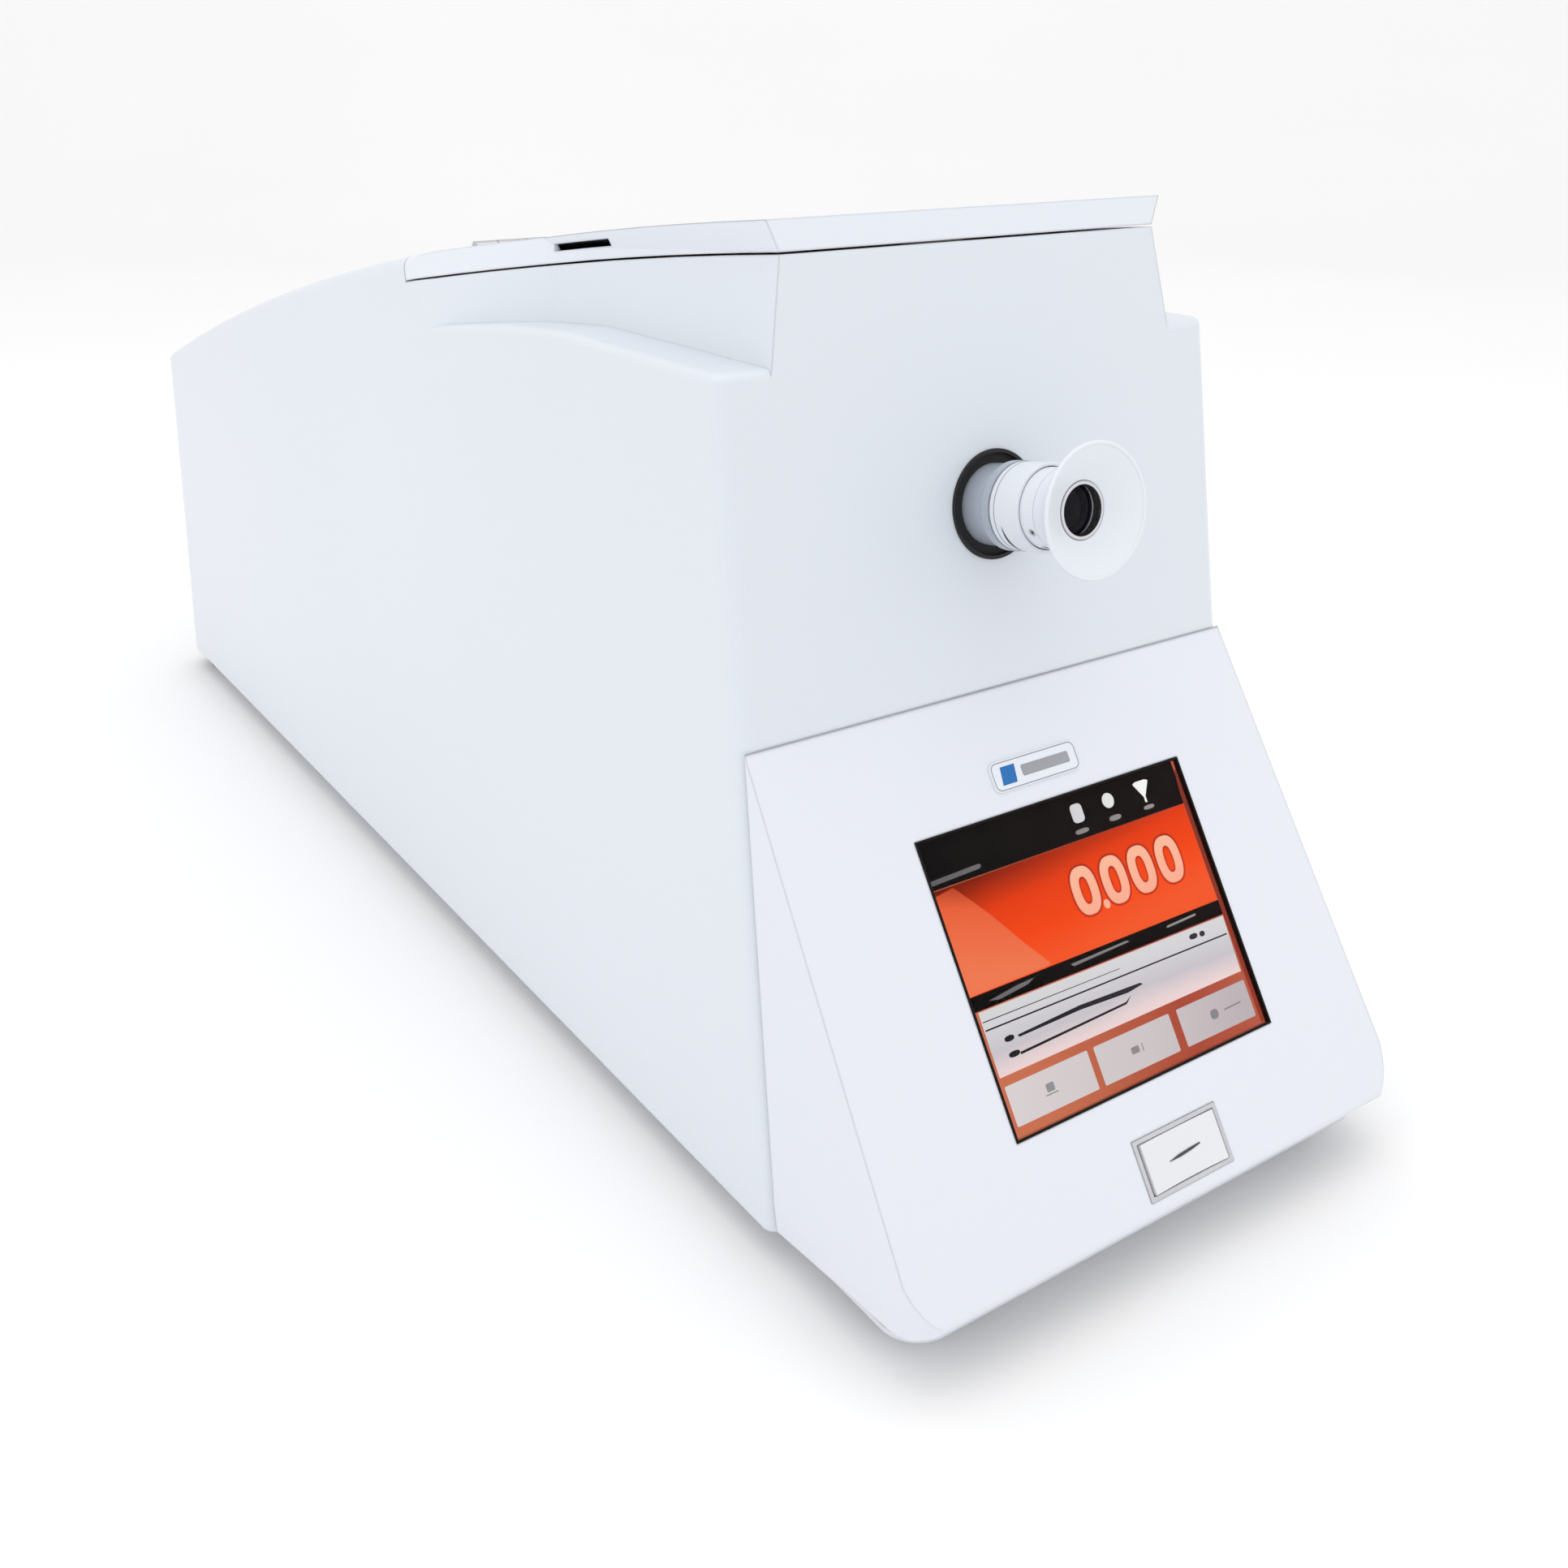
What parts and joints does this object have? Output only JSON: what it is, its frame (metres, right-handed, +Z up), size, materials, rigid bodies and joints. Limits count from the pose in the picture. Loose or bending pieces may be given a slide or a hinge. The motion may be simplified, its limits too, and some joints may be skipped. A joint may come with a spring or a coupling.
{
  "type": "bench polarimeter",
  "caption": "White desktop polarimeter with a sloped touch-screen console, an angled eyepiece and a lidded sample chamber in its long curved housing.",
  "frame": {"origin": "on the bench top, under the centre of the bounding box", "axes": "+Z up, +Y from the operator's end to the rear panel, +X to the operator's right"},
  "size_m": [0.2142, 0.73, 0.306],
  "materials": {
    "white_paint": "smooth satin paint",
    "white_plastic": "smooth",
    "grey_plastic": "fine texture",
    "black_plastic": "fine texture",
    "black_rubber": "dull",
    "glass": "polished",
    "screen": "lit display",
    "steel": "brushed",
    "aluminium": "bead blasted",
    "black_anodised": "black anodised",
    "brass": "turned",
    "board_green": "solder mask",
    "yellow_glass": "polished",
    "film": "polished"
  },
  "bodies": {
    "housing": {"analyser_bearings": "steel", "analyser_housing": "black_anodised", "analyser_motor": "black_plastic", "badge": "grey_plastic", "base_plate": "white_paint", "bench_brackets": "black_anodised", "bench_lenses": "glass", "board_standoffs": "brass", "case_screws": "steel", "collimator_barrel": "black_anodised", "console_boards": "board_green", "cover_hinge_leaves": "steel", "data_port": "aluminium", "display_bezel": "black_plastic", "encoder_reader": "black_plastic", "eyepiece_barrel": "aluminium", "feet": "black_rubber", "front_console": "white_plastic", "heat_sink": "black_anodised", "hinge_pins": "steel", "inlet_pins": "brass", "jog_bezel": "white_plastic", "lamp_housing": "aluminium", "lamp_led": "grey_plastic", "lcd_panel": "screen", "lid_gasket": "black_rubber", "light_seal": "black_rubber", "main_board": "board_green", "main_cover": "white_paint", "optical_rail": "aluminium", "polariser_plates": "film", "port_ring": "black_plastic", "power_inlet": "black_plastic", "power_supply": "aluminium", "rail_posts": "aluminium", "rear_panel": "grey_plastic", "rocker_pins": "steel", "sample_chamber": "black_anodised", "sample_trough": "black_anodised", "switch_frame": "black_plastic", "touch_glass": "glass", "yellow_filter": "yellow_glass"},
    "lid": {"lid": "white_paint", "lid_hinge_leaves": "steel"},
    "jog_rocker": {"jog_rocker": "white_plastic"},
    "focus_ring": {"focus_ring": "white_plastic"},
    "eyepiece": {"eyepiece_cell": "white_plastic", "eyecup": "white_plastic", "eye_lens": "glass", "lens_retainer": "black_plastic", "set_screws": "steel"},
    "analyser": {"analyser_sleeve": "brass", "analyser_wheel": "brass", "encoder_disc": "film", "analyser_film": "film"},
    "motor_pinion": {"motor_pinion": "steel"},
    "sample_tube": {"sample_tube": "glass", "tube_caps": "steel"},
    "fuse_drawer": {"fuse_drawer": "black_plastic"},
    "power_switch": {"power_switch": "black_plastic"}
  },
  "joints": [
    {"name": "lid_hinge", "type": "hinge", "parent": "housing", "child": "lid", "pos_m": [0, -0.03136, 0.27953], "axis": [-1, 0, 0], "range_deg": [0, 95]},
    {"name": "jog_rock", "type": "hinge", "parent": "housing", "child": "jog_rocker", "pos_m": [0.0058, -0.35343, 0.03285], "axis": [0, 0.5633, 0.8262], "range_deg": [-7, 7], "stiffness_Nm_per_rad": 0.05},
    {"name": "focus_turn", "type": "hinge", "parent": "housing", "child": "focus_ring", "pos_m": [0, -0.25939, 0.22102], "axis": [0, 0.986, -0.1668], "range_deg": [-90, 90]},
    {"name": "focus_slide", "type": "slide", "parent": "housing", "child": "eyepiece", "axis": [0, 0.986, -0.1668], "range_m": [-0.002, 0.002]},
    {"name": "analyser_turn", "type": "hinge", "parent": "housing", "child": "analyser", "pos_m": [0, -0.25939, 0.22102], "axis": [0, 0.986, -0.1668], "range_deg": [-180, 180]},
    {"name": "pinion_turn", "type": "hinge", "parent": "housing", "child": "motor_pinion", "pos_m": [0.04, -0.25939, 0.22102], "axis": [0, 0.986, -0.1668], "range_deg": [-545, 545]},
    {"name": "tube_lift", "type": "slide", "parent": "housing", "child": "sample_tube", "axis": [0, 0.1668, 0.986], "range_m": [0, 0.055]},
    {"name": "fuse_drawer_slide", "type": "slide", "parent": "housing", "child": "fuse_drawer", "axis": [0, 0.9932, 0.1167], "range_m": [0, 0.0155]},
    {"name": "power_rock", "type": "hinge", "parent": "housing", "child": "power_switch", "pos_m": [-0.022, 0.35478, 0.05611], "axis": [1, 0, 0], "range_deg": [-8, 8]}
  ],
  "couplings": [
    {"joint": "focus_turn", "follows": "focus_slide", "rad_per_m": 785},
    {"joint": "pinion_turn", "follows": "analyser_turn", "ratio": -3}
  ]
}
